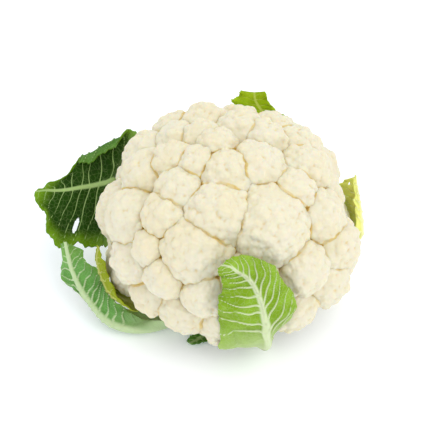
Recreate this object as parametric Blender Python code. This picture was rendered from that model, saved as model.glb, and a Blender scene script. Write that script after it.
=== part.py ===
"""A fresh cauliflower, standing on the cut face of its stem.

The head is a dome of florets that branch off one fleshy core. Each floret is a domed branch whose stalk
runs back to the core, pressed flat against its neighbours. Trimmed wrapper leaves spring from the stem
under the head and cup round it. Metres, +Z up, origin at the centre of the stem's cut face, -Y to the
front. Azimuths are degrees from the front towards +X, elevations are degrees above the head's equator.
"""

import math

import bmesh
import bpy
import numpy as np
from mathutils import Vector

MM = 0.001
GAP = 0.4 * MM  # between pieces that press against each other
SHORTEST_EDGE = 0.05 * MM

# The head
HEAD_CENTRE = Vector((0.0, 0.0, 62 * MM))
HEAD_HALF_SIZE = Vector((90 * MM, 88 * MM, 78 * MM))
FLORET_ROOT_RADIUS = 31 * MM  # the stalks end this far from the head's centre
STALK_RADIUS = 6 * MM
STALK_SIDES = 8
DOME_FLATNESS = 1.3  # a dome's radius of curvature over the floret's half-width

# The core and the stem, turned about the Z axis
CORE_RADIUS = 30 * MM
STEM_RADIUS = 24 * MM
STEM_WAIST_RADIUS = 22.5 * MM
STEM_CHAMFER = 1.5 * MM
STEM_SIDES = 28
CORE_RINGS = 7

# Florets by ring, each as (azimuth, elevation, half-width in mm, how far it stands out of the head in mm)
CROWN = (
    (-8, 69, 17, 0), (47, 70, 18, 0), (124, 66, 13, 0), (165, 67, 16, 0), (-125, 69, 12, 0), (-90, 82, 12, 0),
    (-57, 67, 11, 0),
)
SHOULDER = (
    (-11, 45, 20, 1), (27, 36, 25, 1), (56, 47, 13, 0), (87, 43, 18, 0), (117, 43, 18, 0), (146, 40, 20, 0),
    (174, 41, 19, 0), (-156, 49, 17, 3), (-140, 37, 16, 4), (-115, 33, 15, 4), (-122, 52, 13, 0),
    (-89, 37, 17, 1), (-84, 56, 13, 0), (-49, 50, 15, 0), (-47, 35, 15, 0),
)
SIDE = (
    (-70, 21, 18, 3), (-46, 19, 10, 1), (-22, 25, 21, 1), (63, 26, 17, 0), (64, 9, 17, 3), (-57, 4, 16, 1),
    (-34, 8, 13, 0), (-13, 4, 14, 0), (7, 9, 18, -1), (39, 9, 16, 0), (101, 14, 16, -10), (126, 14, 20, 0),
    (154, 13, 20, 0), (-177, 13, 20, 0), (-149, 13, 20, 0), (-121, 12, 20, 0), (-91, 8, 20, 2),
)
RIM = (
    (-46, -12, 16, -1), (-26, -16, 17, -1), (-4, -20, 18, 0), (55, -9, 17, 3), (36, -17, 17, 0),
    (83, -12, 20, 0), (112, -13, 20, 0), (142, -14, 20, 0), (172, -14, 20, 0), (-158, -14, 20, 0),
    (-128, -15, 20, 0), (-99, -15, 19, 0), (-71, -13, 18, 1),
)

# Leaves. Each station is one cross-section, from the stem outwards, as the places in mm of its left margin,
# its midrib and its right margin. Left and right are as seen on the upper face, which is the one towards the
# head, with the base nearest.
LEAVES = {
    "front_leaf": (
        ((11, -25, 9), (5, -26, 8), (-1, -27, 9)),
        ((20, -42, 8), (12, -43, 6), (5, -44, 8)),
        ((28, -58, 13), (20, -60, 11), (12, -61, 12)),
        ((26, -68, 27), (22, -73, 24), (-2, -66, 15)),
        ((34, -84, 55), (21, -90, 49), (-7, -72, 26)),
        ((40, -82, 64), (21, -91, 59), (-8, -77, 45)),
        ((36, -82, 78), (18, -91, 71), (-9, -93, 73)),
        ((31, -81, 87), (16, -90, 80), (-8, -91, 80)),
        ((25, -79, 97), (12, -87, 89), (-7, -89, 86)),
        ((16, -79, 102), (8, -86, 94), (-7, -87, 91)),
        ((8, -79, 105), (3, -85, 97), (-8, -86, 95)),
        ((2, -80, 106), (-1, -85, 101), (-9, -86, 99)),
        ((-4, -83, 105), (-7, -85, 103), (-9, -86, 101)),
    ),
    "left_leaf": (
        ((-24, 3, 12), (-25, 9, 10), (-23, 15, 12)),
        ((-48, 20, 11), (-49, 28, 9), (-44, 35, 12)),
        ((-76, 33, 20), (-70, 46, 24), (-59, 54, 28)),
        ((-85, 22, 30), (-79, 46, 46), (-66, 66, 70)),
        ((-89, 13, 31), (-82, 47, 63), (-69, 74, 87)),
        ((-100, 10, 32), (-90, 46, 62), (-78, 69, 85)),
        ((-111, 10, 35), (-99, 44, 61), (-89, 65, 82)),
        ((-122, 11, 36), (-107, 42, 61), (-99, 60, 78)),
        ((-129, 18, 44), (-115, 41, 60), (-107, 56, 76)),
        ((-131, 27, 49), (-123, 40, 60), (-116, 48, 68)),
        ((-136, 33, 53), (-131, 39, 61), (-128, 44, 63)),
        ((-139, 37, 58), (-138, 39, 60), (-136, 41, 61)),
    ),
    "lower_left_leaf": (
        ((-13, -22, 9), (-17, -18, 7), (-20, -13, 9)),
        ((-27, -39, 9), (-33, -33, 9), (-36, -24, 9)),
        ((-47, -43, 14), (-53, -41, 8), (-56, -29, 8)),
        ((-59, -40, 11), (-68, -43, 8), (-73, -29, 11)),
        ((-72, -37, 19), (-80, -41, 10), (-88, -25, 13)),
        ((-81, -31, 26), (-88, -37, 14), (-100, -20, 17)),
        ((-86, -24, 30), (-95, -32, 20), (-107, -18, 25)),
        ((-90, -18, 35), (-102, -26, 27), (-110, -18, 21)),
        ((-98, -13, 41), (-108, -18, 37), (-117, -12, 27)),
        ((-104, -3, 42), (-111, -12, 45), (-116, -5, 33)),
        ((-112, -5, 49), (-113, -6, 52), (-115, -4, 49)),
    ),
    "left_inner_leaf": (
        ((-25, -14, 13), (-27, -8, 11), (-26, -2, 13)),
        ((-46, -27, 18), (-49, -19, 16), (-48, -10, 18)),
        ((-63, -44, 24), (-68, -33, 23), (-72, -22, 26)),
        ((-72, -48, 36), (-79, -36, 34), (-84, -25, 35)),
        ((-79, -43, 48), (-85, -33, 46), (-89, -24, 46)),
        ((-83, -37, 59), (-88, -29, 57), (-90, -22, 56)),
        ((-86, -31, 66), (-87, -28, 67), (-88, -25, 66)),
    ),
    "under_leaf": (
        ((-2, -27, 5), (-5, -26, 4), (-8, -25, 5)),
        ((-8, -40, 5), (-12, -38, 4), (-16, -36, 5)),
        ((-14, -51, 4), (-20, -48, 3), (-26, -46, 5)),
        ((-26, -55, 3), (-28, -54, 3), (-30, -53, 4)),
    ),
    "back_leaf": (
        ((4, 25, 12), (10, 24, 10), (16, 21, 12)),
        ((18, 53, 11), (26, 52, 9), (34, 49, 12)),
        ((20, 84, 34), (37, 80, 30), (54, 68, 34)),
        ((10, 95, 62), (39, 93, 58), (66, 76, 62)),
        ((13, 101, 73), (36, 95, 72), (56, 88, 70)),
        ((7, 103, 82), (29, 100, 79), (45, 94, 81)),
        ((3, 105, 88), (24, 104, 83), (36, 98, 86)),
        ((4, 109, 92), (19, 109, 89), (29, 104, 89)),
        ((8, 112, 96), (18, 113, 94), (26, 111, 96)),
    ),
    "right_leaf": (
        ((24, 12, 12), (26, 6, 10), (25, 0, 12)),
        ((50, 21, 13), (54, 12, 10), (52, 3, 12)),
        ((75, 34, 33), (83, 22, 28), (84, 12, 30)),
        ((83, 31, 34), (89, 16, 40), (86, 8, 41)),
        ((79, 38, 48), (89, 24, 52), (86, 16, 54)),
        ((76, 42, 57), (88, 32, 61), (86, 25, 64)),
        ((79, 42, 66), (87, 37, 69), (85, 34, 72)),
        ((88, 40, 73), (87, 40, 74), (86, 39, 74)),
    ),
}
LEAF_ROWS = 18
LEAF_COLUMNS = 5  # to each side of the midrib
COLUMN_SPREAD = 1.5  # above 1, the columns crowd towards the midrib
LEAF_CUP = 0.10  # how far each half bulges to the under face, over its width
BLADE_THICKNESS = 1.2 * MM
RIB_SLENDERNESS = 21  # a leaf's length over the thickness of its midrib at the base
RIB_TIP_SHARE = 0.2
FLORET_CLEARANCE = 1.8 * MM
FLOOR_CLEARANCE = 0.5 * MM

# Finish of each kind of piece: base colour and roughness
CURD_FINISH = ((0.88, 0.82, 0.64, 1.0), 0.55)
STEM_FINISH = ((0.72, 0.78, 0.50, 1.0), 0.50)
LEAF_FINISHES = {
    "front_leaf": ((0.33, 0.52, 0.13, 1.0), 0.50),
    "left_leaf": ((0.12, 0.25, 0.03, 1.0), 0.50),
    "lower_left_leaf": ((0.22, 0.40, 0.14, 1.0), 0.50),
    "left_inner_leaf": ((0.38, 0.45, 0.12, 1.0), 0.50),
    "under_leaf": ((0.10, 0.24, 0.04, 1.0), 0.50),
    "back_leaf": ((0.25, 0.42, 0.03, 1.0), 0.50),
    "right_leaf": ((0.50, 0.55, 0.14, 1.0), 0.50),
}


def clear_scene():
    for obj in list(bpy.data.objects):
        bpy.data.objects.remove(obj)


def finish_of(name, colour, roughness):
    """A Principled material of one colour."""
    material = bpy.data.materials.new(name)
    material.use_nodes = True
    shader = material.node_tree.nodes["Principled BSDF"]
    shader.inputs["Base Color"].default_value = colour
    shader.inputs["Roughness"].default_value = roughness
    shader.inputs["Metallic"].default_value = 0.0
    return material


def add_object(name, bm, finish, smooth_angle=40):
    """Turns a bmesh into a named object in the scene."""
    mesh = bpy.data.meshes.new(name)
    bmesh.ops.recalc_face_normals(bm, faces=bm.faces)
    bm.to_mesh(mesh)
    bm.free()
    mesh.shade_smooth()
    mesh.set_sharp_from_angle(angle=math.radians(smooth_angle))
    obj = bpy.data.objects.new(name, mesh)
    obj.data.materials.append(finish_of(name, *finish))
    bpy.context.scene.collection.objects.link(obj)
    return obj


def direction(azimuth, elevation):
    """The unit vector from the head's centre at these angles."""
    a, e = math.radians(azimuth), math.radians(elevation)
    return Vector((math.sin(a) * math.cos(e), -math.cos(a) * math.cos(e), math.sin(e)))


def head_radius(way):
    """The distance from the head's centre to its outer envelope along a unit vector."""
    return 1 / math.sqrt(sum((w / half) ** 2 for w, half in zip(way, HEAD_HALF_SIZE)))


def floret_domes():
    """(name, unit vector, dome centre, dome radius) of every floret."""
    domes = []
    rings = {"crown": CROWN, "shoulder": SHOULDER, "side": SIDE, "rim": RIM}
    for ring, florets in rings.items():
        for number, (azimuth, elevation, half_width, proud) in enumerate(florets, 1):
            way = direction(azimuth, elevation)
            radius = half_width * MM * DOME_FLATNESS
            centre = HEAD_CENTRE + way * (head_radius(way) + proud * MM - radius)
            domes.append((f"{ring}_floret_{number:02d}", way, centre, radius))
    return domes


def parting_normal(way, radius, other_way, other_radius):
    """The normal of the plane through the head's centre that parts two florets by their sizes."""
    between = way.slerp(other_way, radius / (radius + other_radius))
    return (other_way - between * between.dot(other_way)).normalized()


def add_floret(floret, domes):
    """A dome and its stalk in one convex body, cut flat where it presses against each neighbour."""
    name, way, centre, radius = floret
    bm = bmesh.new()
    bmesh.ops.create_icosphere(bm, subdivisions=2, radius=radius)
    bmesh.ops.translate(bm, verts=bm.verts, vec=centre)
    side = way.orthogonal().normalized()
    other_side = way.cross(side)
    for k in range(STALK_SIDES):
        turn = 2 * math.pi * k / STALK_SIDES
        spoke = side * math.cos(turn) + other_side * math.sin(turn)
        bm.verts.new(HEAD_CENTRE + way * FLORET_ROOT_RADIUS + spoke * STALK_RADIUS)
    hull_of(bm)
    cut_away(bm, HEAD_CENTRE + way * FLORET_ROOT_RADIUS, -way)
    for other_name, other_way, other_centre, other_radius in domes:
        if other_name == name or (other_centre - centre).length > 2 * (radius + other_radius):
            continue
        normal = parting_normal(way, radius, other_way, other_radius)
        cut_away(bm, HEAD_CENTRE - normal * GAP / 2, normal)
    return add_object(name, bm, CURD_FINISH)


def hull_of(bm):
    """Replaces the mesh by the convex hull of its corners."""
    bmesh.ops.delete(bm, geom=bm.edges[:], context="EDGES_FACES")
    made = bmesh.ops.convex_hull(bm, input=bm.verts)
    inside = [v for v in made["geom_interior"] if isinstance(v, bmesh.types.BMVert)]
    bmesh.ops.delete(bm, geom=inside, context="VERTS")


def cut_away(bm, point, normal):
    """Cuts off what lies past the plane, and closes the convex body again."""
    if all((v.co - point).dot(normal) <= 0 for v in bm.verts):
        return
    geometry = bm.verts[:] + bm.edges[:] + bm.faces[:]
    bmesh.ops.bisect_plane(bm, geom=geometry, plane_co=point, plane_no=normal, clear_outer=True)
    bmesh.ops.remove_doubles(bm, verts=bm.verts, dist=SHORTEST_EDGE)
    hull_of(bm)


def add_stem():
    """The stem with the domed core that the florets branch from, turned about Z."""
    height = HEAD_CENTRE.z
    profile = [
        (0.0, 0.0),
        (STEM_RADIUS - STEM_CHAMFER, 0.0),
        (STEM_RADIUS, STEM_CHAMFER),
        (STEM_WAIST_RADIUS, 0.3 * height),
        (0.5 * (STEM_WAIST_RADIUS + CORE_RADIUS), 0.65 * height),
    ]
    for k in range(CORE_RINGS + 1):
        turn = math.pi / 2 * k / CORE_RINGS
        profile.append((CORE_RADIUS * math.cos(turn), height + CORE_RADIUS * math.sin(turn)))
    bm = bmesh.new()
    verts = [bm.verts.new((x, 0, z)) for x, z in profile]
    edges = [bm.edges.new(pair) for pair in zip(verts, verts[1:])]
    bmesh.ops.spin(
        bm, geom=verts + edges, cent=(0, 0, 0), axis=(0, 0, 1), angle=2 * math.pi, steps=STEM_SIDES
    )
    bmesh.ops.remove_doubles(bm, verts=bm.verts, dist=0.01 * MM)
    return add_object("stem", bm, STEM_FINISH)


def smooth_through(rows, samples):
    """A Catmull-Rom curve through the rows of an array, sampled evenly from the first row to the last."""
    padded = np.vstack([2 * rows[0] - rows[1], rows, 2 * rows[-1] - rows[-2]])
    made = []
    for t in np.linspace(0, len(rows) - 1, samples):
        k = min(int(t), len(rows) - 2)
        u = t - k
        a, b, c, d = padded[k : k + 4]
        made.append(b + 0.5 * u * (c - a + u * (2 * a - 5 * b + 4 * c - d + u * (3 * (b - c) + d - a))))
    return np.array(made)


def unit(vectors):
    return vectors / np.linalg.norm(vectors, axis=-1, keepdims=True)


def leaf_surface(stations):
    """The upper face of a leaf as a grid of points: rows along the midrib, columns from margin to margin."""
    flat = np.array(stations, float).reshape(len(stations), 9)
    rows = smooth_through(flat, LEAF_ROWS + 1).reshape(-1, 3, 3) * MM
    rib = rows[:, 1]
    along = unit(np.gradient(rib, axis=0))
    shares = np.linspace(0, 1, LEAF_COLUMNS + 1)[:, None, None] ** COLUMN_SPREAD
    halves = []
    for margin, turn in ((rows[:, 0], 1), (rows[:, 2], -1)):
        across = margin - rib
        under = turn * np.cross(across, along)
        halves.append(rib + across * shares + under * LEAF_CUP * 4 * shares * (1 - shares))
    return np.concatenate([halves[0][:0:-1], halves[1]]).transpose(1, 0, 2)


def leaf_thickness(points):
    """How thick a leaf is at each point of its grid: thin in the blade, swelling to the midrib."""
    rows, columns = points.shape[:2]
    midrib = points[:, columns // 2 : columns // 2 + 1]
    aside = np.linalg.norm(points - midrib, axis=-1)
    length = np.linalg.norm(np.diff(midrib, axis=0), axis=-1).sum()
    rib = length / RIB_SLENDERNESS * np.linspace(1, RIB_TIP_SHARE, rows)[:, None]
    return BLADE_THICKNESS + (rib - BLADE_THICKNESS) * np.exp(-2 * (aside / rib) ** 2)


def keep_clear(points, thickness, domes):
    """Moves a leaf's upper face off the florets, and up until its under face is clear of the floor."""
    for name, way, centre, radius in domes:
        offset = points - np.array(centre)
        distance = np.linalg.norm(offset, axis=-1, keepdims=True)
        wanted = np.maximum(distance, radius + FLORET_CLEARANCE)
        points = np.array(centre) + offset / distance * wanted
    points[..., 2] = np.maximum(points[..., 2], thickness + FLOOR_CLEARANCE)
    return points


def add_leaf(name, stations, domes):
    """A cupped blade with its midrib and stalk in one body: the upper face, thickened downwards."""
    points = leaf_surface(stations)
    thickness = leaf_thickness(points)
    points = keep_clear(points, thickness, domes)
    rows, columns = points.shape[:2]
    bm = bmesh.new()
    verts = [[bm.verts.new(p) for p in row] for row in points]
    for i in range(rows - 1):
        for j in range(columns - 1):
            bm.faces.new((verts[i][j], verts[i][j + 1], verts[i + 1][j + 1], verts[i + 1][j]))
    mesh = bpy.data.meshes.new(name)
    bm.to_mesh(mesh)
    bm.free()
    mesh.shade_smooth()
    mesh.materials.append(finish_of(name, *LEAF_FINISHES[name]))
    obj = bpy.data.objects.new(name, mesh)
    bpy.context.scene.collection.objects.link(obj)
    group = obj.vertex_groups.new(name="thickness")
    for index, thick in enumerate(thickness.flat):
        group.add([index], thick / thickness.max(), "REPLACE")
    solidify = obj.modifiers.new("Thickness", "SOLIDIFY")
    solidify.thickness = thickness.max()
    solidify.vertex_group = group.name
    solidify.offset = -1
    return obj


def main():
    clear_scene()
    domes = floret_domes()
    for floret in domes:
        add_floret(floret, domes)
    add_stem()
    for name, stations in LEAVES.items():
        add_leaf(name, stations, domes)


main()
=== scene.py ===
"""A fresh cauliflower standing on a white table.

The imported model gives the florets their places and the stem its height. This add-on grows the curd's
florets from it, makes the stem and the trimmed wrapper leaves, and sets the table, the lights and the
camera. The leaves and the stem's girth are given here.
"""

import math

import bmesh
import bpy
import numpy as np
from mathutils import Matrix, Vector
from mathutils.bvhtree import BVHTree


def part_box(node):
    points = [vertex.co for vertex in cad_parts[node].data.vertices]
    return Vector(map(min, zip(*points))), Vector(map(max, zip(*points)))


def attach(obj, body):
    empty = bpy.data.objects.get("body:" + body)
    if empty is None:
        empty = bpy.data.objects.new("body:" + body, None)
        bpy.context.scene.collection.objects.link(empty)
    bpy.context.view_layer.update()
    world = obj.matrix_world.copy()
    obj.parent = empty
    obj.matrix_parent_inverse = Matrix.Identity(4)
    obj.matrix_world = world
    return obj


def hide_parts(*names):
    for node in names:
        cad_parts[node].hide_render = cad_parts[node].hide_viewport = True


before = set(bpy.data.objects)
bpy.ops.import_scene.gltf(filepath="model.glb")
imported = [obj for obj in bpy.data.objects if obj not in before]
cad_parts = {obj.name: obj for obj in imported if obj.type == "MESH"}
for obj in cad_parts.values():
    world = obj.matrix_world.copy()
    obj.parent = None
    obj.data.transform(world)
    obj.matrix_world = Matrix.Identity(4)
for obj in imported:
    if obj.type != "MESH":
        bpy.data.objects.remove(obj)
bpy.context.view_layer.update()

bl_info = {
    "name": "Cauliflower",
    "version": (1, 0, 0),
    "blender": (4, 5, 0),
    "location": "View3D > Sidebar > Cauliflower",
    "description": "Grows a fresh cauliflower with its curd, stem and wrapper leaves",
    "category": "Add Mesh",
}

MM = 0.001
HEAD_CENTRE = Vector((0.0, 0.0, 62 * MM))
GOLDEN_ANGLE = math.pi * (3 - math.sqrt(5))
MOTTLING = "Mottling"
BUDS = "buds"

FLORETS = sorted(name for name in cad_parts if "_floret_" in name)

# The curd. A floret's dome is its outer part, from this share of its greatest distance from the head's
# centre. Its stalk starts inside the head. Sizes are in mm.
DOME_FROM = 0.86
MOST_LOBES = 400
STALK_START = 31
STALK_START_RADIUS = 4.5
TIGHT_FOLD = 0.4
CREASE_WIDTH = 0.9
MEETING_WIDTH = 2.4

# The stem in mm: its cut end, then the height and radius of each ring above it. Scars are cut leaves'.
STEM_RADIUS = 24
STEM_FOOT = 8
STEM_RINGS = (
    (20, 22.6), (32, 23.4), (44, 26.5), (56, 29.2), (66, 29.6), (76, 26.2), (84, 20.2), (89, 13.2),
)
STEM_TOP_RADIUS = 3.0
SCAR_HEIGHT = 13

# The camera. The angle is a judgement, because the photo has nothing that fixes it.
LOOK_DOWN = math.radians(40)
CAMERA_DISTANCE = 812
AIM_OFFSET = Vector((-10.9 * MM, 4.4 * MM, 5.2 * MM))
LENS = 100
SENSOR_WIDTH = 36

# Leaves. Each station is one cross-section, from the stem outwards, as the places in mm of its left margin,
# its midrib and its right margin, seen on the upper face with the base nearest. They are the numbers in
# part.py. Most were worked out by another program from readings of the photo, with depths that are judged.
LEAVES = {
    "front_leaf": (
        ((11, -25, 9), (5, -26, 8), (-1, -27, 9)),
        ((20, -42, 8), (12, -43, 6), (5, -44, 8)),
        ((28, -58, 13), (20, -60, 11), (12, -61, 12)),
        ((26, -68, 27), (22, -73, 24), (-2, -66, 15)),
        ((34, -84, 55), (21, -90, 49), (-7, -72, 26)),
        ((40, -82, 64), (21, -91, 59), (-8, -77, 45)),
        ((36, -82, 78), (18, -91, 71), (-9, -93, 73)),
        ((31, -81, 87), (16, -90, 80), (-8, -91, 80)),
        ((25, -79, 97), (12, -87, 89), (-7, -89, 86)),
        ((16, -79, 102), (8, -86, 94), (-7, -87, 91)),
        ((8, -79, 105), (3, -85, 97), (-8, -86, 95)),
        ((2, -80, 106), (-1, -85, 101), (-9, -86, 99)),
        ((-4, -83, 105), (-7, -85, 103), (-9, -86, 101)),
    ),
    "left_leaf": (
        ((-24, 3, 12), (-25, 9, 10), (-23, 15, 12)),
        ((-48, 20, 11), (-49, 28, 9), (-44, 35, 12)),
        ((-76, 33, 20), (-70, 46, 24), (-59, 54, 28)),
        ((-85, 22, 30), (-79, 46, 46), (-66, 66, 70)),
        ((-89, 13, 31), (-82, 47, 63), (-69, 74, 87)),
        ((-100, 10, 32), (-90, 46, 62), (-78, 69, 85)),
        ((-111, 10, 35), (-99, 44, 61), (-89, 65, 82)),
        ((-122, 11, 36), (-107, 42, 61), (-99, 60, 78)),
        ((-129, 18, 44), (-115, 41, 60), (-107, 56, 76)),
        ((-131, 27, 49), (-123, 40, 60), (-116, 48, 68)),
        ((-136, 33, 53), (-131, 39, 61), (-128, 44, 63)),
        ((-139, 37, 58), (-138, 39, 60), (-136, 41, 61)),
    ),
    "lower_left_leaf": (
        ((-13, -22, 9), (-17, -18, 7), (-20, -13, 9)),
        ((-27, -39, 9), (-33, -33, 9), (-36, -24, 9)),
        ((-47, -43, 14), (-53, -41, 8), (-56, -29, 8)),
        ((-59, -40, 11), (-68, -43, 8), (-73, -29, 11)),
        ((-72, -37, 19), (-80, -41, 10), (-88, -25, 13)),
        ((-81, -31, 26), (-88, -37, 14), (-100, -20, 17)),
        ((-86, -24, 30), (-95, -32, 20), (-107, -18, 25)),
        ((-90, -18, 35), (-102, -26, 27), (-110, -18, 21)),
        ((-98, -13, 41), (-108, -18, 37), (-117, -12, 27)),
        ((-104, -3, 42), (-111, -12, 45), (-116, -5, 33)),
        ((-112, -5, 49), (-113, -6, 52), (-115, -4, 49)),
    ),
    "left_inner_leaf": (
        ((-25, -14, 13), (-27, -8, 11), (-26, -2, 13)),
        ((-46, -27, 18), (-49, -19, 16), (-48, -10, 18)),
        ((-63, -44, 24), (-68, -33, 23), (-72, -22, 26)),
        ((-72, -48, 36), (-79, -36, 34), (-84, -25, 35)),
        ((-79, -43, 48), (-85, -33, 46), (-89, -24, 46)),
        ((-83, -37, 59), (-88, -29, 57), (-90, -22, 56)),
        ((-86, -31, 66), (-87, -28, 67), (-88, -25, 66)),
    ),
    "under_leaf": (
        ((-2, -27, 5), (-5, -26, 4), (-8, -25, 5)),
        ((-8, -40, 5), (-12, -38, 4), (-16, -36, 5)),
        ((-14, -51, 4), (-20, -48, 3), (-26, -46, 5)),
        ((-26, -55, 3), (-28, -54, 3), (-30, -53, 4)),
    ),
    "back_leaf": (
        ((4, 25, 12), (10, 24, 10), (16, 21, 12)),
        ((18, 53, 11), (26, 52, 9), (34, 49, 12)),
        ((20, 84, 34), (37, 80, 30), (54, 68, 34)),
        ((10, 95, 62), (39, 93, 58), (66, 76, 62)),
        ((13, 101, 73), (36, 95, 72), (56, 88, 70)),
        ((7, 103, 82), (29, 100, 79), (45, 94, 81)),
        ((3, 105, 88), (24, 104, 83), (36, 98, 86)),
        ((4, 109, 92), (19, 109, 89), (29, 104, 89)),
        ((8, 112, 96), (18, 113, 94), (26, 111, 96)),
    ),
    "right_leaf": (
        ((24, 12, 12), (26, 6, 10), (25, 0, 12)),
        ((50, 21, 13), (54, 12, 10), (52, 3, 12)),
        ((75, 34, 33), (83, 22, 28), (84, 12, 30)),
        ((83, 31, 34), (89, 16, 40), (86, 8, 41)),
        ((79, 38, 48), (89, 24, 52), (86, 16, 54)),
        ((76, 42, 57), (88, 32, 61), (86, 25, 64)),
        ((79, 42, 66), (87, 37, 69), (85, 34, 72)),
        ((88, 40, 73), (87, 40, 74), (86, 39, 74)),
    ),
}


class LeafHabit:
    """How one leaf grows: its grid, veins, colours, ragged and wavy margins, folds and tears."""

    def __init__(self, rows, columns, veins, sweep, blade_from, colours, ragged=0.06, ruffle=1.2, pucker=0.5,
                 folds=(), tears=()):
        self.rows = rows
        self.columns = columns
        self.veins = veins
        self.sweep = sweep
        self.blade_from = blade_from
        self.colours = colours
        self.ragged = ragged
        self.ruffle = ruffle
        self.pucker = pucker
        self.folds = folds
        self.tears = tears


# Colours of a leaf: its upper face, its under face, its veins, and a paler margin tone, partly painted light.
# A fold is (side, where it starts and ends along the leaf, how far across it bends, its turn in degrees).
# A tear is an oval hole: (its place across and along, half its size across and along).
HABITS = {
    "front_leaf": LeafHabit(
        190, 120, 13, (0.14, 0.0), 0.26,
        ((0.20, 0.36, 0.04), (0.26, 0.43, 0.035), (0.64, 0.71, 0.44), (0.34, 0.48, 0.07)),
        ragged=0.05, ruffle=1.4, pucker=0.55,
    ),
    "left_leaf": LeafHabit(
        200, 130, 12, (-0.02, 0.10), 0.22,
        # Painted light: the far paler margin colour lights the tip that curls up into the light.
        ((0.015, 0.052, 0.0006), (0.085, 0.20, 0.045), (0.36, 0.50, 0.18), (0.19, 0.36, 0.012)),
        ragged=0.07, ruffle=1.6, pucker=0.8, folds=((1, 0.38, 0.76, 0.74, 158),),
        tears=((-0.66, 0.56, 0.13, 0.014),),
    ),
    "lower_left_leaf": LeafHabit(
        160, 90, 15, (0.04, 0.04), 0.25,
        ((0.22, 0.38, 0.004), (0.16, 0.38, 0.09), (0.54, 0.66, 0.38), (0.28, 0.42, 0.02)),
        ragged=0.10, ruffle=1.3, pucker=0.6,
    ),
    "left_inner_leaf": LeafHabit(
        110, 60, 9, (0.06, 0.06), 0.3,
        ((0.30, 0.34, 0.008), (0.28, 0.34, 0.015), (0.52, 0.54, 0.16), (0.30, 0.36, 0.01)),
        ragged=0.08, ruffle=0.8, pucker=0.4,
    ),
    "under_leaf": LeafHabit(
        60, 40, 7, (0.08, 0.08), 0.2,
        ((0.07, 0.19, 0.02), (0.10, 0.24, 0.05), (0.30, 0.42, 0.16), (0.09, 0.22, 0.03)),
        ragged=0.12, ruffle=0.6, pucker=0.4,
    ),
    "back_leaf": LeafHabit(
        160, 100, 12, (0.05, 0.05), 0.25,
        ((0.27, 0.40, 0.004), (0.32, 0.48, 0.05), (0.42, 0.50, 0.08), (0.33, 0.45, 0.01)),
        ragged=0.14, ruffle=1.6, pucker=0.8,
    ),
    "right_leaf": LeafHabit(
        110, 70, 10, (0.05, 0.05), 0.3,
        # Painted light: these colours are raised above the leaf's pale yellow tone, to make up for the shade
        # it stands in.
        ((0.80, 0.80, 0.20), (0.80, 0.80, 0.22), (0.85, 0.85, 0.45), (0.70, 0.76, 0.14)),
        ragged=0.16, ruffle=1.0, pucker=0.5, tears=((-0.5, 0.84, 0.07, 0.022), (0.5, 0.84, 0.07, 0.022)),
    ),
}


# Properties


class CurdProperties(bpy.types.PropertyGroup):
    lobe_radius: bpy.props.FloatProperty(
        name="Lobe Radius", description="Radius of one rounded lobe of a floret", default=4.1 * MM,
        unit="LENGTH",
    )
    lobe_spacing: bpy.props.FloatProperty(
        name="Lobe Spacing", description="Distance between neighbouring lobes", default=6.3 * MM,
        unit="LENGTH",
    )
    lobe_sink: bpy.props.FloatProperty(
        name="Lobe Sink", description="How far the dome lies under the tops of its lobes", default=1.8 * MM,
        unit="LENGTH",
    )
    bud_size: bpy.props.FloatProperty(
        name="Bud Size", description="Width of one bud on a lobe", default=2.5 * MM, unit="LENGTH"
    )
    bud_height: bpy.props.FloatProperty(
        name="Bud Height", description="How far a bud stands out", default=0.42 * MM, unit="LENGTH"
    )
    detail: bpy.props.FloatProperty(
        name="Detail", description="Edge length of the curd's mesh", default=0.78 * MM, unit="LENGTH"
    )
    flesh: bpy.props.FloatVectorProperty(
        name="Flesh", description="Colour of the lobes", default=(0.73, 0.685, 0.53), subtype="COLOR"
    )
    # The colour of the folds is the curd's ochre tone together with painted shade in its folds and where
    # florets touch.
    crease_tone_and_shade: bpy.props.FloatVectorProperty(
        name="Crease", description="Colour in the folds and where florets touch", default=(0.70, 0.50, 0.15),
        subtype="COLOR",
    )
    # Spot is painted shade: brown where three florets meet and the gap between them runs deep.
    spot: bpy.props.FloatVectorProperty(
        name="Spot", description="Colour where three florets meet", default=(0.50, 0.31, 0.07),
        subtype="COLOR",
    )


class LeafProperties(bpy.types.PropertyGroup):
    blade: bpy.props.FloatProperty(
        name="Blade", description="Thickness of the blade", default=0.7 * MM, unit="LENGTH"
    )
    rib: bpy.props.FloatProperty(
        name="Rib", description="Thickness of the midrib at the stem", default=6.5 * MM, unit="LENGTH"
    )
    vein: bpy.props.FloatProperty(
        name="Vein", description="Width of a side vein", default=1.5 * MM, unit="LENGTH"
    )
    curd_gap: bpy.props.FloatProperty(
        name="Curd Gap", description="Least distance from a leaf to a floret's dome", default=1.8 * MM,
        unit="LENGTH",
    )
    floor_gap: bpy.props.FloatProperty(
        name="Floor Gap", description="Least distance from a leaf to the table", default=0.6 * MM,
        unit="LENGTH",
    )
    cup: bpy.props.FloatProperty(
        name="Cup", description="How far each half bulges to the under face, over its width", default=0.10,
        subtype="FACTOR",
    )


class StemProperties(bpy.types.PropertyGroup):
    skin: bpy.props.FloatVectorProperty(
        name="Skin", description="Colour of the stem's skin", default=(0.52, 0.60, 0.30), subtype="COLOR"
    )
    pith: bpy.props.FloatVectorProperty(
        name="Pith", description="Colour of the cut face", default=(0.78, 0.76, 0.52), subtype="COLOR"
    )
    bundles: bpy.props.FloatVectorProperty(
        name="Bundles", description="Colour of the ring of vessels on the cut face",
        default=(0.50, 0.58, 0.26), subtype="COLOR",
    )


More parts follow.
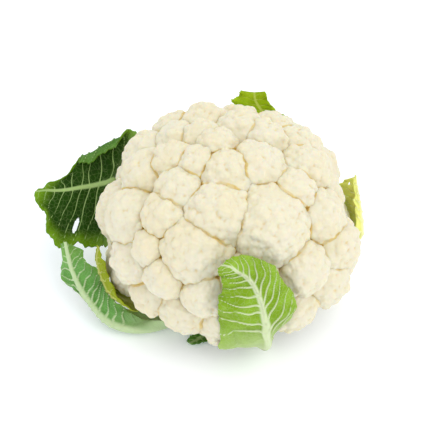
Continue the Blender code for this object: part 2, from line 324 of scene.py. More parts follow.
class StageProperties(bpy.types.PropertyGroup):
    table_size: bpy.props.FloatProperty(
        name="Table Size", description="Side of the white table", default=6.0, unit="LENGTH"
    )
    key_power: bpy.props.FloatProperty(
        name="Key Power", description="Power of the lamp at the front right", default=6.0, unit="POWER"
    )
    fill_power: bpy.props.FloatProperty(
        name="Fill Power", description="Power of the lamp overhead", default=3.0, unit="POWER"
    )
    room_light: bpy.props.FloatProperty(
        name="Room Light", description="Strength of the even light of the room", default=1.0
    )


# Modelling helpers


def deselect_all():
    if bpy.context.mode != "OBJECT":
        bpy.ops.object.mode_set(mode="OBJECT")
    bpy.ops.object.select_all(action="DESELECT")


def make_active(piece):
    deselect_all()
    piece.select_set(True)
    bpy.context.view_layer.objects.active = piece


def active_piece(name):
    piece = bpy.context.object
    piece.name = name
    piece.data.name = name
    return piece


def apply_modifier(piece, kind, **settings):
    """Adds one modifier with these settings and applies it."""
    make_active(piece)
    bpy.ops.object.modifier_add(type=kind)
    modifier = piece.modifiers[-1]
    for key, value in settings.items():
        setattr(modifier, key, value)
    bpy.ops.object.modifier_apply(modifier=modifier.name)


def join_into(pieces, name):
    """Joins pieces into the first of them."""
    deselect_all()
    for piece in pieces:
        piece.select_set(True)
    bpy.context.view_layer.objects.active = pieces[0]
    bpy.ops.object.join()
    return active_piece(name)


def copy_of(template, matrix):
    """A copy of a template with its own mesh, put in its place by the matrix."""
    piece = bpy.data.objects.new(template.name, template.data.copy())
    bpy.context.scene.collection.objects.link(piece)
    piece.data.transform(matrix)
    return piece


def vectors_of(items, key):
    vectors = np.empty(len(items) * 3, np.float32)
    items.foreach_get(key, vectors)
    return vectors.reshape(-1, 3).astype(float)


def points_of(mesh):
    return vectors_of(mesh.vertices, "co")


def set_points(mesh, points):
    mesh.vertices.foreach_set("co", points.astype(np.float32).ravel())


def add_attribute(mesh, name, values):
    """Stores one number for each vertex, for the material to read."""
    layer = mesh.attributes.new(name, "FLOAT", "POINT")
    layer.data.foreach_set("value", np.asarray(values, np.float32))


def finish_piece(piece, material, slot, *nodes):
    """Gives a piece its finish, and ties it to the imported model."""
    piece.data.materials.clear()
    piece.data.materials.append(material)
    make_active(piece)
    bpy.ops.object.shade_smooth()
    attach(piece, "root")
    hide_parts(*nodes)


# Material helpers


def feed(tree, socket, value):
    """Gives a socket a number, a colour or another node's output."""
    if isinstance(value, bpy.types.NodeSocket):
        tree.links.new(value, socket)
    else:
        socket.default_value = value


def node(tree, kind, inputs=None, **settings):
    """Adds one shader node, and feeds its inputs."""
    made = tree.nodes.new(kind)
    for key, value in settings.items():
        setattr(made, key, value)
    for key, value in (inputs or {}).items():
        feed(tree, made.inputs[key], value)
    return made


def rgba(colour):
    return (*colour, 1.0)


def mix(tree, factor, low, high):
    """The Result of a colour mix."""
    made = node(tree, "ShaderNodeMix", data_type="RGBA", clamp_factor=True)
    for index, value in ((0, factor), (6, low), (7, high)):
        feed(tree, made.inputs[index], value)
    return made.outputs[2]


def ramp(tree, value, low, high, to_low=0.0, to_high=1.0, smooth=True):
    """Maps a number from one range to another, and clamps it."""
    made = node(
        tree, "ShaderNodeMapRange", {0: value, 1: low, 2: high, 3: to_low, 4: to_high},
        interpolation_type="SMOOTHSTEP" if smooth else "LINEAR",
    )
    return made.outputs[0]


def maths(tree, operation, a, b=0.5):
    return node(tree, "ShaderNodeMath", {0: a, 1: b}, operation=operation).outputs[0]


def noise(tree, place, scale, detail):
    """Smooth uneven patches, as a number from 0 to 1."""
    inputs = {"Vector": place, "Scale": scale, "Detail": detail}
    return node(tree, "ShaderNodeTexNoise", inputs).outputs["Fac"]


def add_bump(tree, shader, height, strength, depth):
    """Roughens a surface that is too fine to model. Its depth is in mm."""
    bump = node(tree, "ShaderNodeBump", {"Height": height, "Strength": strength, "Distance": depth * MM})
    tree.links.new(bump.outputs["Normal"], shader.inputs["Normal"])


def let_light_in(shader, weight, colour, depth):
    """Lets light spread under the surface, to a depth in mm."""
    shader.inputs["Subsurface Weight"].default_value = weight
    shader.inputs["Subsurface Radius"].default_value = colour
    shader.inputs["Subsurface Scale"].default_value = depth * MM


def new_group(name, inputs, outputs):
    """A shader node group with named sockets, its input node and its output node."""
    group = bpy.data.node_groups.new(name, "ShaderNodeTree")
    for label, kind, default in inputs:
        socket = group.interface.new_socket(name=label, in_out="INPUT", socket_type=kind)
        socket.default_value = default
    for label, kind in outputs:
        group.interface.new_socket(name=label, in_out="OUTPUT", socket_type=kind)
    return group, group.nodes.new("NodeGroupInput"), group.nodes.new("NodeGroupOutput")


def new_material(name):
    material = bpy.data.materials.new(name)
    material.use_nodes = True
    tree = material.node_tree
    return material, tree, tree.nodes["Principled BSDF"]


def mottling_group():
    """Uneven growth: pale and deep patches over a colour, for flesh of any kind."""
    group, given, made = new_group(
        MOTTLING,
        [
            ("Color", "NodeSocketColor", (0.8, 0.8, 0.8, 1)),
            ("Deep Color", "NodeSocketColor", (0.5, 0.5, 0.5, 1)),
            ("Patch Scale", "NodeSocketFloat", 60.0),
            ("Amount", "NodeSocketFloat", 0.3),
        ],
        [("Color", "NodeSocketColor")],
    )
    place = node(group, "ShaderNodeTexCoord").outputs["Object"]
    patches = node(
        group, "ShaderNodeTexNoise",
        {"Vector": place, "Scale": given.outputs["Patch Scale"], "Detail": 4.0, "Roughness": 0.6},
    )
    mask = ramp(group, patches.outputs["Fac"], 0.38, 0.68)
    share = maths(group, "MULTIPLY", mask, given.outputs["Amount"])
    mottled = mix(group, share, given.outputs["Color"], given.outputs["Deep Color"])
    group.links.new(mottled, made.inputs["Color"])


def place_group(tree, group, inputs):
    """Adds one use of a node group, and feeds its inputs."""
    made = tree.nodes.new("ShaderNodeGroup")
    made.node_tree = group
    for key, value in inputs.items():
        feed(tree, made.inputs[key], value)
    return made


# The curd


def curd_material(look, mottling):
    """Cream flesh; ochre tone with painted shade in its folds and where florets touch, and browner painted
    shade where three of them meet.
    """
    material, tree, shader = new_material("curd_flesh")
    place = node(tree, "ShaderNodeTexCoord").outputs["Object"]
    flesh = place_group(
        tree, mottling,
        {"Color": rgba(look.flesh), "Deep Color": (0.73, 0.655, 0.45, 1), "Patch Scale": 34.0, "Amount": 0.7},
    ).outputs["Color"]
    fold = node(tree, "ShaderNodeAttribute", attribute_name="fold").outputs["Fac"]
    contact = node(tree, "ShaderNodeAttribute", attribute_name="contact").outputs["Fac"]
    blotch = noise(tree, place, 75.0, 3.0)
    meeting = node(tree, "ShaderNodeAttribute", attribute_name="meeting").outputs["Fac"]
    # Painted shade, with an ochre tone: folds between lobes and lines where florets touch take the colour of
    # the folds.
    fold_shade = maths(tree, "MULTIPLY", ramp(tree, fold, 0.2, 0.95), 0.5)
    uneven = maths(tree, "MAXIMUM", ramp(tree, blotch, 0.38, 0.60, 0.3, 0.85), ramp(tree, meeting, 0.35, 0.9))
    line = maths(tree, "MULTIPLY", ramp(tree, contact, 0.3, 0.95), uneven)
    coloured = mix(tree, maths(tree, "MAXIMUM", fold_shade, line), flesh, rgba(look.crease_tone_and_shade))
    # Painted shade: brown where three florets meet and the gap between them runs deep.
    junction_shade = maths(tree, "MULTIPLY", ramp(tree, meeting, 0.6, 0.95), ramp(tree, contact, 0.5, 0.95, 0.0, 0.85))
    coloured = mix(tree, junction_shade, coloured, rgba(look.spot))
    tree.links.new(coloured, shader.inputs["Base Color"])
    grain = node(
        tree, "ShaderNodeTexVoronoi", {"Vector": place, "Scale": 560.0, "Randomness": 1.0},
        feature="SMOOTH_F1",
    ).outputs["Distance"]
    fine = noise(tree, place, 1500.0, 2.0)
    height = maths(tree, "SUBTRACT", maths(tree, "MULTIPLY", fine, 0.35), grain)
    add_bump(tree, shader, height, 0.3, 0.5)
    tree.links.new(ramp(tree, blotch, 0.3, 0.7, 0.52, 0.66), shader.inputs["Roughness"])
    let_light_in(shader, 0.45, (1.0, 0.68, 0.32), 5)
    shader.inputs["Specular IOR Level"].default_value = 0.3
    return material


def spiral_way(k, cosine):
    """The way to the k-th place of a spiral about +Z, where the cosine of its tilt is given."""
    tilt, turn = math.acos(cosine), k * GOLDEN_ANGLE
    return Vector((math.sin(tilt) * math.cos(turn), math.sin(tilt) * math.sin(turn), math.cos(tilt)))


def lobe_template():
    """One rounded lobe with its smaller lobes in a spiral over it, about 1 m in radius and facing up."""
    deselect_all()
    bpy.ops.mesh.primitive_ico_sphere_add(subdivisions=3, radius=0.9)
    lobe = active_piece("lobe")
    bpy.ops.object.mode_set(mode="EDIT")
    for k in range(15):
        size = 0.34 + 0.012 * k
        reach = 0.70 - 0.006 * k
        spot = spiral_way(k, 1 - 0.062 * (k + 0.2)) * reach
        bpy.ops.mesh.primitive_ico_sphere_add(subdivisions=2, radius=size, location=spot)
    bpy.ops.object.mode_set(mode="OBJECT")
    return lobe


def sphere_through(points):
    """The centre and radius of the sphere that best fits some points."""
    system = np.c_[2 * points, np.ones(len(points))]
    solution = np.linalg.lstsq(system, (points**2).sum(1), rcond=None)[0]
    centre = solution[:3]
    return Vector(centre), math.sqrt(solution[3] + centre @ centre)


def measure_floret(cad):
    """The axis, dome centre, dome radius and half-width of a floret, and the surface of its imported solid."""
    mesh = cad.data
    points = points_of(mesh)
    offsets = points - np.array(HEAD_CENTRE)
    distance = np.linalg.norm(offsets, axis=1)
    dome = points[distance > DOME_FROM * distance.max()]
    centre, radius = sphere_through(dome)
    axis = (Vector(dome.mean(0)) - HEAD_CENTRE).normalized()
    axis = (axis + (centre - HEAD_CENTRE).normalized()).normalized()
    from_axis = offsets - np.outer(offsets @ np.array(axis), np.array(axis))
    half_width = np.linalg.norm(from_axis, axis=1).max()
    surface = BVHTree.FromPolygons([Vector(p) for p in points], [p.vertices for p in mesh.polygons])
    return axis, centre, radius, half_width, surface


def turned_to(axis, turn):
    """The rotation that turns +Z to an axis, after a turn about Z."""
    return axis.to_track_quat("Z", "Y").to_matrix().to_4x4() @ Matrix.Rotation(turn, 4, "Z")


def folds_of(mesh, rounds):
    """How deep each vertex lies in a fold of its own floret, from 0 on a rounded top to 1 in a tight fold."""
    edges = np.empty(len(mesh.edges) * 2, np.int32)
    mesh.edges.foreach_get("vertices", edges)
    a, b = edges.reshape(-1, 2).T
    points = points_of(mesh)
    count = len(points)
    links = np.bincount(np.r_[a, b], minlength=count)[:, None]
    smoothed = points.copy()
    for _ in range(rounds):
        total = np.empty_like(smoothed)
        for k in range(3):
            total[:, k] = np.bincount(a, smoothed[b, k], count) + np.bincount(b, smoothed[a, k], count)
        smoothed = 0.5 * smoothed + 0.5 * total / links
    lift = ((smoothed - points) * vectors_of(mesh.vertex_normals, "vector")).sum(1)
    return np.clip(lift / (TIGHT_FOLD * MM), 0, 1)


def contacts_of(points, own, domes):
    """How near each point is to the nearest other floret and to the one after it, 1 where they touch."""
    gaps = []
    for name, (_, centre, radius, _, _) in domes.items():
        if name != own:
            gaps.append(np.linalg.norm(points - np.array(centre), axis=1) - radius)
    nearest = np.partition(np.array(gaps), 1, axis=0)[:2]
    widths = np.array([[CREASE_WIDTH], [MEETING_WIDTH]]) * MM
    return np.exp(-((np.maximum(nearest + 0.2 * MM, 0) / widths) ** 2))


def add_floret(name, look, lobe, material, domes, rng):
    """One floret: lobes in a spiral over its dome, grown together with the stalk behind them."""
    axis, centre, radius, reach, surface = domes[name]
    to_axis = turned_to(axis, rng.uniform(0, 2 * math.pi))
    across = min(1.02 * reach, 0.97 * radius)
    deep = across**2 / radius
    middle = centre + axis * (radius - deep - look.lobe_sink)
    deselect_all()
    bpy.ops.mesh.primitive_ico_sphere_add(subdivisions=5, radius=1.0)
    core = active_piece(name)
    for vertex in core.data.vertices:
        if vertex.co.z < 0:
            vertex.co.z *= 0.3
    core.data.transform(Matrix.Translation(middle) @ to_axis @ Matrix.Diagonal((across, across, deep, 1.0)))
    parts = [core, add_stalk(axis, middle, 0.74 * across)]
    area = look.lobe_spacing**2 * 0.87
    for k in range(MOST_LOBES):
        cosine = 1 - (k + 0.5) * area / (2 * math.pi * radius**2)
        if cosine < 0.1:
            break
        way = to_axis @ spiral_way(k, cosine)
        jitter = Vector(rng.normal(0, 0.05, 3))
        size = look.lobe_radius * rng.uniform(0.8, 1.5)
        facing = (way + jitter).normalized()
        spot = centre + facing * radius
        if surface.find_nearest(spot)[3] > 0.08 * radius:
            continue
        sunk = size - look.lobe_sink * rng.uniform(-0.6, 1.0)
        place = Matrix.Translation(spot - facing * sunk) @ turned_to(facing, rng.uniform(0, 2 * math.pi))
        parts.append(copy_of(lobe, place @ Matrix.Scale(size, 4)))
    floret = join_into(parts, name)
    apply_modifier(floret, "REMESH", mode="VOXEL", voxel_size=look.detail)
    apply_modifier(floret, "SMOOTH", factor=0.5, iterations=1)
    apply_modifier(
        floret, "DISPLACE", texture=bpy.data.textures[BUDS], strength=-look.bud_height, mid_level=0.25,
        texture_coords="LOCAL",
    )
    add_attribute(floret.data, "fold", folds_of(floret.data, 10))
    contact, meeting = contacts_of(points_of(floret.data), name, domes)
    add_attribute(floret.data, "contact", contact)
    add_attribute(floret.data, "meeting", meeting)
    finish_piece(floret, material, "curd", name)


def add_stalk(axis, end, width):
    """The stalk from inside the head, widening to the back of the dome."""
    start = HEAD_CENTRE + axis * STALK_START * MM
    length = (end - start).length
    deselect_all()
    bpy.ops.mesh.primitive_cone_add(
        vertices=20, radius1=STALK_START_RADIUS * MM, radius2=width, depth=length
    )
    stalk = bpy.context.object
    stalk.data.transform(Matrix.Translation((start + end) / 2) @ turned_to(axis, 0))
    return stalk


class CAULIFLOWER_OT_curd(bpy.types.Operator):
    """Grow the florets of the curd"""

    bl_idname = "cauliflower.curd"
    bl_label = "Curd"
    bl_options = {"REGISTER", "UNDO"}

    def execute(self, context):
        look = context.scene.cauliflower_curd
        material = curd_material(look, bpy.data.node_groups[MOTTLING])
        buds = bpy.data.textures.new(BUDS, "VORONOI")
        buds.distance_metric = "DISTANCE_SQUARED"
        buds.noise_scale = look.bud_size
        buds.noise_intensity = 1.0
        lobe = lobe_template()
        rng = np.random.default_rng(12)
        domes = {name: measure_floret(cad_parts[name]) for name in FLORETS}
        for name in FLORETS:
            add_floret(name, look, lobe, material, domes, rng)
        bpy.data.objects.remove(lobe)
        return {"FINISHED"}


# The stem


def stem_material(look, mottling):
    """Pale green skin, and a cut face with its ring of vessels."""
    material, tree, shader = new_material("stem_flesh")
    place = node(tree, "ShaderNodeTexCoord").outputs["Object"]
    split = node(tree, "ShaderNodeSeparateXYZ", {0: place})
    flat = node(tree, "ShaderNodeCombineXYZ", {0: split.outputs[0], 1: split.outputs[1]}).outputs[0]
    reach = node(tree, "ShaderNodeVectorMath", {0: flat}, operation="LENGTH").outputs["Value"]
    drift = noise(tree, place, 160.0, 3.0)
    uneven = maths(tree, "ADD", reach, maths(tree, "MULTIPLY", maths(tree, "SUBTRACT", drift, 0.5), 3 * MM))
    ring_in = ramp(tree, uneven, 15.5 * MM, 17.0 * MM)
    ring_out = ramp(tree, uneven, 18.0 * MM, 19.5 * MM, 1.0, 0.0)
    vessels = node(
        tree, "ShaderNodeTexVoronoi", {"Vector": flat, "Scale": 620.0, "Randomness": 0.9}
    ).outputs["Distance"]
    dots = ramp(tree, vessels, 0.55, 0.15, 0.3, 1.0)
    ring = maths(tree, "MULTIPLY", maths(tree, "MULTIPLY", ring_in, ring_out), dots)
    pith = place_group(
        tree, mottling,
        {"Color": rgba(look.pith), "Deep Color": (0.62, 0.62, 0.34, 1), "Patch Scale": 120.0, "Amount": 0.5},
    ).outputs["Color"]
    face = mix(tree, ring, pith, rgba(look.bundles))
    skin = place_group(
        tree, mottling,
        {"Color": rgba(look.skin), "Deep Color": (0.68, 0.70, 0.44, 1), "Patch Scale": 90.0, "Amount": 0.7},
    ).outputs["Color"]
    above_cut = ramp(tree, split.outputs[2], 0.8 * MM, 2.2 * MM)
    side = maths(tree, "MAXIMUM", above_cut, ramp(tree, reach, 21.6 * MM, 22.8 * MM))
    tree.links.new(mix(tree, side, face, skin), shader.inputs["Base Color"])
    drawn_out = node(tree, "ShaderNodeMapping", {"Vector": place, "Scale": (1.0, 1.0, 0.12)}).outputs[0]
    add_bump(tree, shader, noise(tree, drawn_out, 700.0, 3.0), 0.5, 0.6)
    tree.links.new(ramp(tree, side, 0.0, 1.0, 0.32, 0.5), shader.inputs["Roughness"])
    let_light_in(shader, 0.2, (0.7, 1.0, 0.4), 3)
    return material


class CAULIFLOWER_OT_stem(bpy.types.Operator):
    """Make the stem with its cut face and the scars of the leaves cut from it"""

    bl_idname = "cauliflower.stem"
    bl_label = "Stem"
    bl_options = {"REGISTER", "UNDO"}

    def execute(self, context):
        look = context.scene.cauliflower_stem
        _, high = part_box("stem")
        deselect_all()
        bpy.ops.mesh.primitive_cylinder_add(
            vertices=96, radius=STEM_RADIUS * MM, depth=STEM_FOOT * MM, location=(0, 0, STEM_FOOT / 2 * MM)
        )
        stem = active_piece("cut_stem")
        bpy.ops.object.transform_apply(location=True, rotation=False, scale=False)
        bpy.ops.object.mode_set(mode="EDIT")
        bpy.ops.mesh.select_all(action="DESELECT")
        bpy.ops.object.mode_set(mode="OBJECT")
        for face in stem.data.polygons:
            face.select = face.normal.z > 0.9
        bpy.ops.object.mode_set(mode="EDIT")
        above, around = STEM_FOOT, STEM_RADIUS
        for height, radius in (*STEM_RINGS, (high.z / MM - 0.2, STEM_TOP_RADIUS)):
            bpy.ops.mesh.extrude_region_move(TRANSFORM_OT_translate={"value": (0, 0, (height - above) * MM)})
            bpy.ops.transform.resize(value=(radius / around, radius / around, 1))
            above, around = height, radius
        bpy.ops.object.mode_set(mode="OBJECT")
        apply_modifier(stem, "BEVEL", width=1.2 * MM, segments=3, angle_limit=math.radians(60))
        apply_modifier(stem, "REMESH", mode="VOXEL", voxel_size=0.9 * MM)
        apply_modifier(stem, "SMOOTH", factor=0.5, iterations=3)
        mesh = stem.data
        points = points_of(mesh)
        turn = np.arctan2(points[:, 1], points[:, 0])
        reach = np.hypot(points[:, 0], points[:, 1])
        height = points[:, 2] / MM
        ribs = 0.35 * np.sin(turn * 9 + 0.06 * height) + 0.25 * np.sin(turn * 23 + 1.7)
        scars = 0.8 * np.exp(-(((height - SCAR_HEIGHT) / 1.2) ** 2)) * (np.sin(turn * 5 + 0.8) > 0.1)
        rough = (ribs - scars) * MM * np.clip(reach / (20 * MM), 0, 1) ** 6 * np.clip(height / 3, 0, 1)
        points[:, :2] *= (1 + rough / np.maximum(reach, MM))[:, None]
        cut = (height < 1) & (reach < 22 * MM)
        points[cut, 2] += 0.25 * MM * (0.5 + 0.5 * np.sin(points[cut, 0] / MM * 1.1 + 0.6))
        points[:, 2] -= points[:, 2].min()
        set_points(mesh, points)
        mesh.update()
        finish_piece(stem, stem_material(look, bpy.data.node_groups[MOTTLING]), "stem", "stem")
        return {"FINISHED"}


# The leaves


def smooth_through(rows, samples):
    """A Catmull-Rom curve through the rows of an array, sampled evenly from the first row to the last."""
    padded = np.vstack([2 * rows[0] - rows[1], rows, 2 * rows[-1] - rows[-2]])
    t = np.linspace(0, len(rows) - 1, samples)
    k = np.minimum(t.astype(int), len(rows) - 2)
    u = (t - k)[:, None]
    a, b, c, d = padded[k], padded[k + 1], padded[k + 2], padded[k + 3]
    return b + 0.5 * u * (c - a + u * (2 * a - 5 * b + 4 * c - d + u * (3 * (b - c) + d - a)))


def unit(vectors):
    return vectors / np.maximum(np.linalg.norm(vectors, axis=-1, keepdims=True), 1e-9)


def wander(values, rng, waves=(3, 7, 13, 29), falls=(1.0, 0.6, 0.4, 0.3)):
    """A smooth uneven line along values from 0 to 1, about 1 high."""
    total = np.zeros_like(values)
    for wave, size in zip(waves, falls):
        total += size * np.sin(2 * math.pi * (wave * values + rng.uniform()))
    return total / 1.6


def leaf_grid(stations, habit, cup, rng):
    """The upper face of a leaf: its points, the places of its rows from 0 to 1 and of its columns from -1
    to 1, and how far each row has widened from stalk to blade."""
    flat = np.array(stations, float).reshape(len(stations), 9)
    rows = smooth_through(flat, habit.rows).reshape(-1, 3, 3) * MM
    rib = rows[:, 1]
    along = unit(np.gradient(rib, axis=0))
    place = np.linspace(0, 1, habit.rows)
    half = habit.columns // 2
    shares = (np.linspace(0, 1, half + 1)[:, None]) ** 1.15
    blade = np.clip((place - habit.blade_from) / 0.12, 0, 1) ** 2
    halves = []
    for side, margin in ((-1, rows[:, 0]), (1, rows[:, 2])):
        across = margin - rib
        width = np.linalg.norm(across, axis=1)
        under = unit(-side * np.cross(across, along))
        across = unit(across)
        uneven = 1 + habit.ragged * wander(place, rng) * blade
        share = shares * (1 + (uneven - 1)[None] * shares**4)
        wave = wander(place, rng, (5, 9, 14), (1.0, 0.8, 0.5)) * habit.ruffle * MM * blade
        turn = np.zeros_like(share)
        for folded, start, end, bend, degrees in habit.folds:
            if folded == side:
                window = np.clip(np.minimum(place - start, end - place) / 0.05, 0, 1)
                share = share * (1 + window * (1 / bend - 1))[None]
                bent = np.clip((share - 1 + 0.02) / 0.12, 0, 1)
                turn = turn + np.radians(degrees) * window[None] * bent**2 * (3 - 2 * bent)
        steps = np.diff(share, axis=0, prepend=share[:1])
        out = np.cumsum(steps * np.cos(turn), axis=0)
        rise = np.cumsum(steps * np.sin(turn), axis=0)
        lift = cup * 4 * share * (1 - np.minimum(share, 1)) * width + wave[None] * shares**3 - rise * width
        halves.append(rib + across * (out * width)[..., None] + under * lift[..., None])
    points = np.concatenate([halves[0][:0:-1], halves[1]]).transpose(1, 0, 2)
    across_at = np.r_[-shares[:0:-1, 0], shares[:, 0]]
    return points, place, across_at, blade


def vein_strength(points, place, across_at, habit, width, rng):
    """How strongly each grid point belongs to a side vein, and how strongly to the midrib."""
    gaps = np.linalg.norm(points - points[:, habit.columns // 2][:, None], axis=-1)
    length = np.r_[0, np.cumsum(np.linalg.norm(np.diff(points[:, habit.columns // 2], axis=0), axis=1))]
    metres = length[-1]
    strength = np.zeros(points.shape[:2])
    for side in (-1, 1):
        columns = np.sign(across_at) == side
        reach = np.abs(across_at[columns])[None]
        sweep = habit.sweep[0 if side < 0 else 1]
        starts = np.linspace(habit.blade_from, 0.95, habit.veins) + rng.uniform(-0.012, 0.012, habit.veins)
        for start in starts:
            bend = start + sweep * reach + rng.uniform(0.02, 0.07) * reach**2 * (1 - start)
            bend = bend + 0.006 * np.sin(reach * rng.uniform(7, 12) + rng.uniform(0, 6))
            off = (place[:, None] - bend) * metres
            thick = width * (1 - 0.72 * reach) * (1.15 - 0.5 * start)
            strength[:, columns] = np.maximum(strength[:, columns], np.exp(-((off / (0.62 * thick)) ** 2)))
    midrib = width * (2.6 - 2.0 * place)[:, None]
    return strength, np.exp(-((gaps / midrib) ** 2))


def keep_clear(points, domes):
    """Moves points that lie inside a floret's dome out to its surface."""
    for centre, radius in domes:
        offset = points - centre
        distance = np.linalg.norm(offset, axis=-1, keepdims=True)
        points = centre + offset / distance * np.maximum(distance, radius)
    return points


def torn(habit, place, across_at):
    """Which cells of the grid are torn out of the blade."""
    rows = (place[:-1] + place[1:])[:, None] / 2
    columns = (across_at[:-1] + across_at[1:])[None] / 2
    away = np.zeros((len(place) - 1, len(across_at) - 1), bool)
    for across, along, half_across, half_along in habit.tears:
        away |= ((columns - across) / half_across) ** 2 + ((rows - along) / half_along) ** 2 < 1
    return away


def add_leaf(name, look, domes, tissue):
    """One leaf: a puckered blade over its side veins, wavy and ragged at the margin, with a thick midrib."""
    habit = HABITS[name]
    rng = np.random.default_rng(len(name) * 7 + habit.rows)
    points, place, across_at, blade = leaf_grid(LEAVES[name], habit, look.cup, rng)
    veins, midrib = vein_strength(points, place, across_at, habit, look.vein, rng)
    veins *= blade[:, None] ** 0.5
    points = keep_clear(points, domes)
    down = unit(np.cross(np.gradient(points, axis=0), np.gradient(points, axis=1)))
    calm = np.clip((0.97 - place) / 0.25, 0, 1)[:, None]
    puff = habit.pucker * MM * (1 - veins) * (1 - midrib) * blade[:, None]
    puff = puff * (1 - np.abs(across_at)[None] ** 6) * calm
    points = points - down * puff[..., None]
    rows, columns = points.shape[:2]
    rib_line = look.rib * (1 - 0.86 * place)[:, None]
    gaps = np.linalg.norm(points - points[:, columns // 2][:, None], axis=-1)
    thick = look.blade + (rib_line - look.blade) * np.exp(-2 * (gaps / rib_line) ** 2)
    thick = thick + 0.8 * MM * veins * calm
    points[..., 2] = np.maximum(points[..., 2], thick + look.floor_gap)
    deselect_all()
    bpy.ops.mesh.primitive_grid_add(x_subdivisions=columns - 1, y_subdivisions=rows - 1, size=1.0)
    leaf = active_piece(f"{name}_blade")
    mesh = leaf.data
    set_points(mesh, points)
    away = torn(habit, place, across_at).ravel()
    group = leaf.vertex_groups.new(name="thickness")
    for index, value in enumerate(thick.ravel() / look.rib):
        group.add([index], min(float(value), 1.0), "REPLACE")
    add_attribute(mesh, "vein", np.maximum(veins, midrib).ravel())
    add_attribute(mesh, "margin", np.broadcast_to(np.abs(across_at)[None], (rows, columns)).ravel())
    add_attribute(mesh, "along", np.broadcast_to(place[:, None], (rows, columns)).ravel())
    if away.any():
        bm = bmesh.new()
        bm.from_mesh(mesh)
        bm.faces.ensure_lookup_table()
        bmesh.ops.delete(bm, geom=[bm.faces[k] for k in np.flatnonzero(away)], context="FACES")
        bm.to_mesh(mesh)
        bm.free()
    upper = len(mesh.vertices)
    mesh.update()
    apply_modifier(leaf, "SOLIDIFY", thickness=look.rib, vertex_group=group.name, offset=-1.0, use_rim=True)
    under = np.zeros(len(mesh.vertices))
    under[upper:] = 1.0
    add_attribute(mesh, "under", under)
    leaf.vertex_groups.clear()
    finish_piece(leaf, leaf_material(name, habit, tissue), name, name)


def tissue_group():
    """Leaf tissue: upper and under tones, pale veins with a fine net between, and a margin and tip that fade
    paler, partly painted light.
    """
    group, given, made = new_group(
        "Leaf Tissue",
        [
            ("Upper Color", "NodeSocketColor", (0.05, 0.15, 0.01, 1)),
            ("Under Color", "NodeSocketColor", (0.2, 0.4, 0.1, 1)),
            ("Vein Color", "NodeSocketColor", (0.5, 0.6, 0.3, 1)),
            ("Margin Color", "NodeSocketColor", (0.2, 0.4, 0.1, 1)),
            ("Net Scale", "NodeSocketFloat", 300.0),
        ],
        [("Color", "NodeSocketColor"), ("Height", "NodeSocketFloat"), ("Roughness", "NodeSocketFloat")],
    )
    place = node(group, "ShaderNodeTexCoord").outputs["Object"]
    vein, margin, along, under = (
        node(group, "ShaderNodeAttribute", attribute_name=label).outputs["Fac"]
        for label in ("vein", "margin", "along", "under")
    )
    patches = noise(group, place, 70.0, 5.0)
    face = mix(group, under, given.outputs["Upper Color"], given.outputs["Under Color"])
    # Partly painted light: the margin and tip fade to the paler margin colour, as thin tissue looks where it
    # is lit.
    outer = maths(group, "MAXIMUM", ramp(group, margin, 0.7, 1.0), ramp(group, along, 0.8, 0.96))
    fade = maths(group, "MULTIPLY", outer, ramp(group, under, 0.0, 1.0, 0.8, 0.2))
    face = mix(group, fade, face, given.outputs["Margin Color"])
    deeper = {"Color": face, "Value": 0.72, "Saturation": 1.06}
    deep = node(group, "ShaderNodeHueSaturation", deeper).outputs[0]
    face = mix(group, maths(group, "MULTIPLY", ramp(group, patches, 0.4, 0.65), 0.75), face, deep)
    net = node(
        group, "ShaderNodeTexVoronoi", {"Vector": place, "Scale": given.outputs["Net Scale"]},
        feature="DISTANCE_TO_EDGE",
    ).outputs["Distance"]
    lines = ramp(group, net, 0.09, 0.0)
    face = mix(group, maths(group, "MULTIPLY", lines, 0.14), face, given.outputs["Vein Color"])
    face = mix(group, ramp(group, vein, 0.28, 0.85, 0.0, 0.95), face, given.outputs["Vein Color"])
    stalk = ramp(group, along, 0.46, 0.14)
    face = mix(group, maths(group, "MULTIPLY", stalk, 0.85), face, given.outputs["Vein Color"])
    group.links.new(face, made.inputs["Color"])
    cells = maths(group, "MULTIPLY", noise(group, place, 900.0, 2.0), 0.25)
    height = maths(group, "SUBTRACT", cells, maths(group, "MULTIPLY", lines, 0.6))
    group.links.new(height, made.inputs["Height"])
    group.links.new(ramp(group, under, 0.0, 1.0, 0.5, 0.62), made.inputs["Roughness"])
    return group


def leaf_material(name, habit, tissue):
    """The tissue of one leaf in its own colours."""
    material, tree, shader = new_material(f"{name}_tissue")
    upper, under, vein, margin = (rgba(colour) for colour in habit.colours)
    made = place_group(
        tree, tissue,
        {"Upper Color": upper, "Under Color": under, "Vein Color": vein, "Margin Color": margin,
         "Net Scale": 330.0},
    )
    tree.links.new(made.outputs["Color"], shader.inputs["Base Color"])
    tree.links.new(made.outputs["Roughness"], shader.inputs["Roughness"])
    add_bump(tree, shader, made.outputs["Height"], 0.5, 0.4)
    let_light_in(shader, 0.15, (0.5, 1.0, 0.2), 2)
    shader.inputs["Specular IOR Level"].default_value = 0.06
    return material


class CAULIFLOWER_OT_leaves(bpy.types.Operator):
    """Make the wrapper leaves"""

    bl_idname = "cauliflower.leaves"
    bl_label = "Leaves"
    bl_options = {"REGISTER", "UNDO"}

    def execute(self, context):
        look = context.scene.cauliflower_leaf
        tissue = tissue_group()
        domes = []
        for name in FLORETS:
            _, centre, radius, _, _ = measure_floret(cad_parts[name])
            domes.append((np.array(centre), radius + look.curd_gap))
        for name in LEAVES:
            add_leaf(name, look, domes, tissue)
        return {"FINISHED"}


# The stage


def add_lamp(name, location, size, power, colour):
    """A square lamp aimed at the head."""
    deselect_all()
    bpy.ops.object.light_add(type="AREA", location=location)
    lamp = bpy.context.object
    lamp.name = name
    lamp.data.size = size
    lamp.data.energy = power
    lamp.data.color = colour
    towards = HEAD_CENTRE - lamp.location
    lamp.rotation_euler = towards.to_track_quat("-Z", "Y").to_euler()


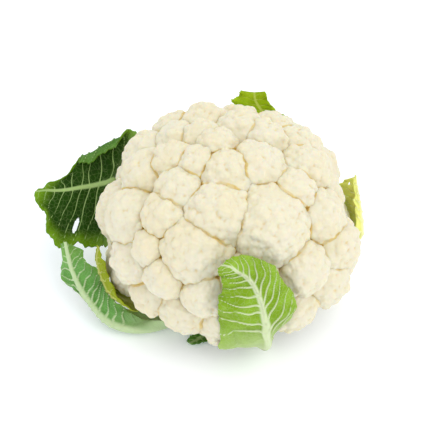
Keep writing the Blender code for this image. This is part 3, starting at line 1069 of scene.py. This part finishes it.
class CAULIFLOWER_OT_stage(bpy.types.Operator):
    """Set the white table, the soft lights and the camera"""

    bl_idname = "cauliflower.stage"
    bl_label = "Stage"
    bl_options = {"REGISTER", "UNDO"}

    def execute(self, context):
        look = context.scene.cauliflower_stage
        deselect_all()
        bpy.ops.mesh.primitive_plane_add(size=look.table_size, location=(0, 0, 0))
        table = active_piece("table")
        material, _, shader = new_material("white_table")
        shader.inputs["Base Color"].default_value = (0.955, 0.96, 0.985, 1)
        shader.inputs["Roughness"].default_value = 0.8
        shader.inputs["Specular IOR Level"].default_value = 0.1
        shader.inputs["Emission Color"].default_value = (0.85, 0.92, 1.0, 1)
        shader.inputs["Emission Strength"].default_value = 0.16
        table.data.materials.append(material)
        add_lamp("key_lamp", (0.55, -0.75, 1.25), 1.0, look.key_power, (1.0, 0.985, 0.955))
        add_lamp("top_lamp", (-0.25, 0.35, 1.5), 1.6, look.fill_power, (0.97, 0.985, 1.0))
        world = bpy.data.worlds.new("room")
        world.use_nodes = True
        room = world.node_tree.nodes["Background"]
        room.inputs["Color"].default_value = (0.96, 0.98, 1.0, 1)
        room.inputs["Strength"].default_value = look.room_light
        context.scene.world = world
        add_camera(context)
        context.scene.view_settings.view_transform = "Standard"
        context.scene.view_settings.look = "None"
        return {"FINISHED"}


def add_camera(context):
    """A long lens, looking down on the head from the front."""
    back = Vector((0, -math.cos(LOOK_DOWN), math.sin(LOOK_DOWN))) * CAMERA_DISTANCE * MM
    deselect_all()
    bpy.ops.object.camera_add(
        location=HEAD_CENTRE + AIM_OFFSET + back, rotation=(math.pi / 2 - LOOK_DOWN, 0, 0)
    )
    camera = bpy.context.object
    camera.name = "camera"
    camera.data.lens = LENS
    camera.data.sensor_width = SENSOR_WIDTH
    camera.data.dof.use_dof = False
    camera.data.clip_start = 0.01
    context.scene.camera = camera


class CAULIFLOWER_PT_panel(bpy.types.Panel):
    """Sizes, colours and buttons for the cauliflower"""

    bl_idname = "CAULIFLOWER_PT_panel"
    bl_label = "Cauliflower"
    bl_space_type = "VIEW_3D"
    bl_region_type = "UI"
    bl_category = "Cauliflower"

    def draw(self, context):
        for operator, settings in STEPS:
            box = self.layout.box()
            for key in getattr(context.scene, settings).bl_rna.properties.keys():
                if key not in ("rna_type", "name"):
                    box.prop(getattr(context.scene, settings), key)
            box.operator(operator)


STEPS = (
    ("cauliflower.curd", "cauliflower_curd"),
    ("cauliflower.stem", "cauliflower_stem"),
    ("cauliflower.leaves", "cauliflower_leaf"),
    ("cauliflower.stage", "cauliflower_stage"),
)
GROUPS = {
    "cauliflower_curd": CurdProperties,
    "cauliflower_stem": StemProperties,
    "cauliflower_leaf": LeafProperties,
    "cauliflower_stage": StageProperties,
}
CLASSES = (
    *GROUPS.values(), CAULIFLOWER_OT_curd, CAULIFLOWER_OT_stem, CAULIFLOWER_OT_leaves, CAULIFLOWER_OT_stage,
    CAULIFLOWER_PT_panel,
)


def register():
    for cls in CLASSES:
        bpy.utils.register_class(cls)
    for name, group in GROUPS.items():
        setattr(bpy.types.Scene, name, bpy.props.PointerProperty(type=group))


def unregister():
    for name in GROUPS:
        delattr(bpy.types.Scene, name)
    for cls in reversed(CLASSES):
        bpy.utils.unregister_class(cls)


def main():
    register()
    mottling_group()
    bpy.ops.cauliflower.curd()
    bpy.ops.cauliflower.stem()
    bpy.ops.cauliflower.leaves()
    bpy.ops.cauliflower.stage()


if __name__ == "__main__":
    main()
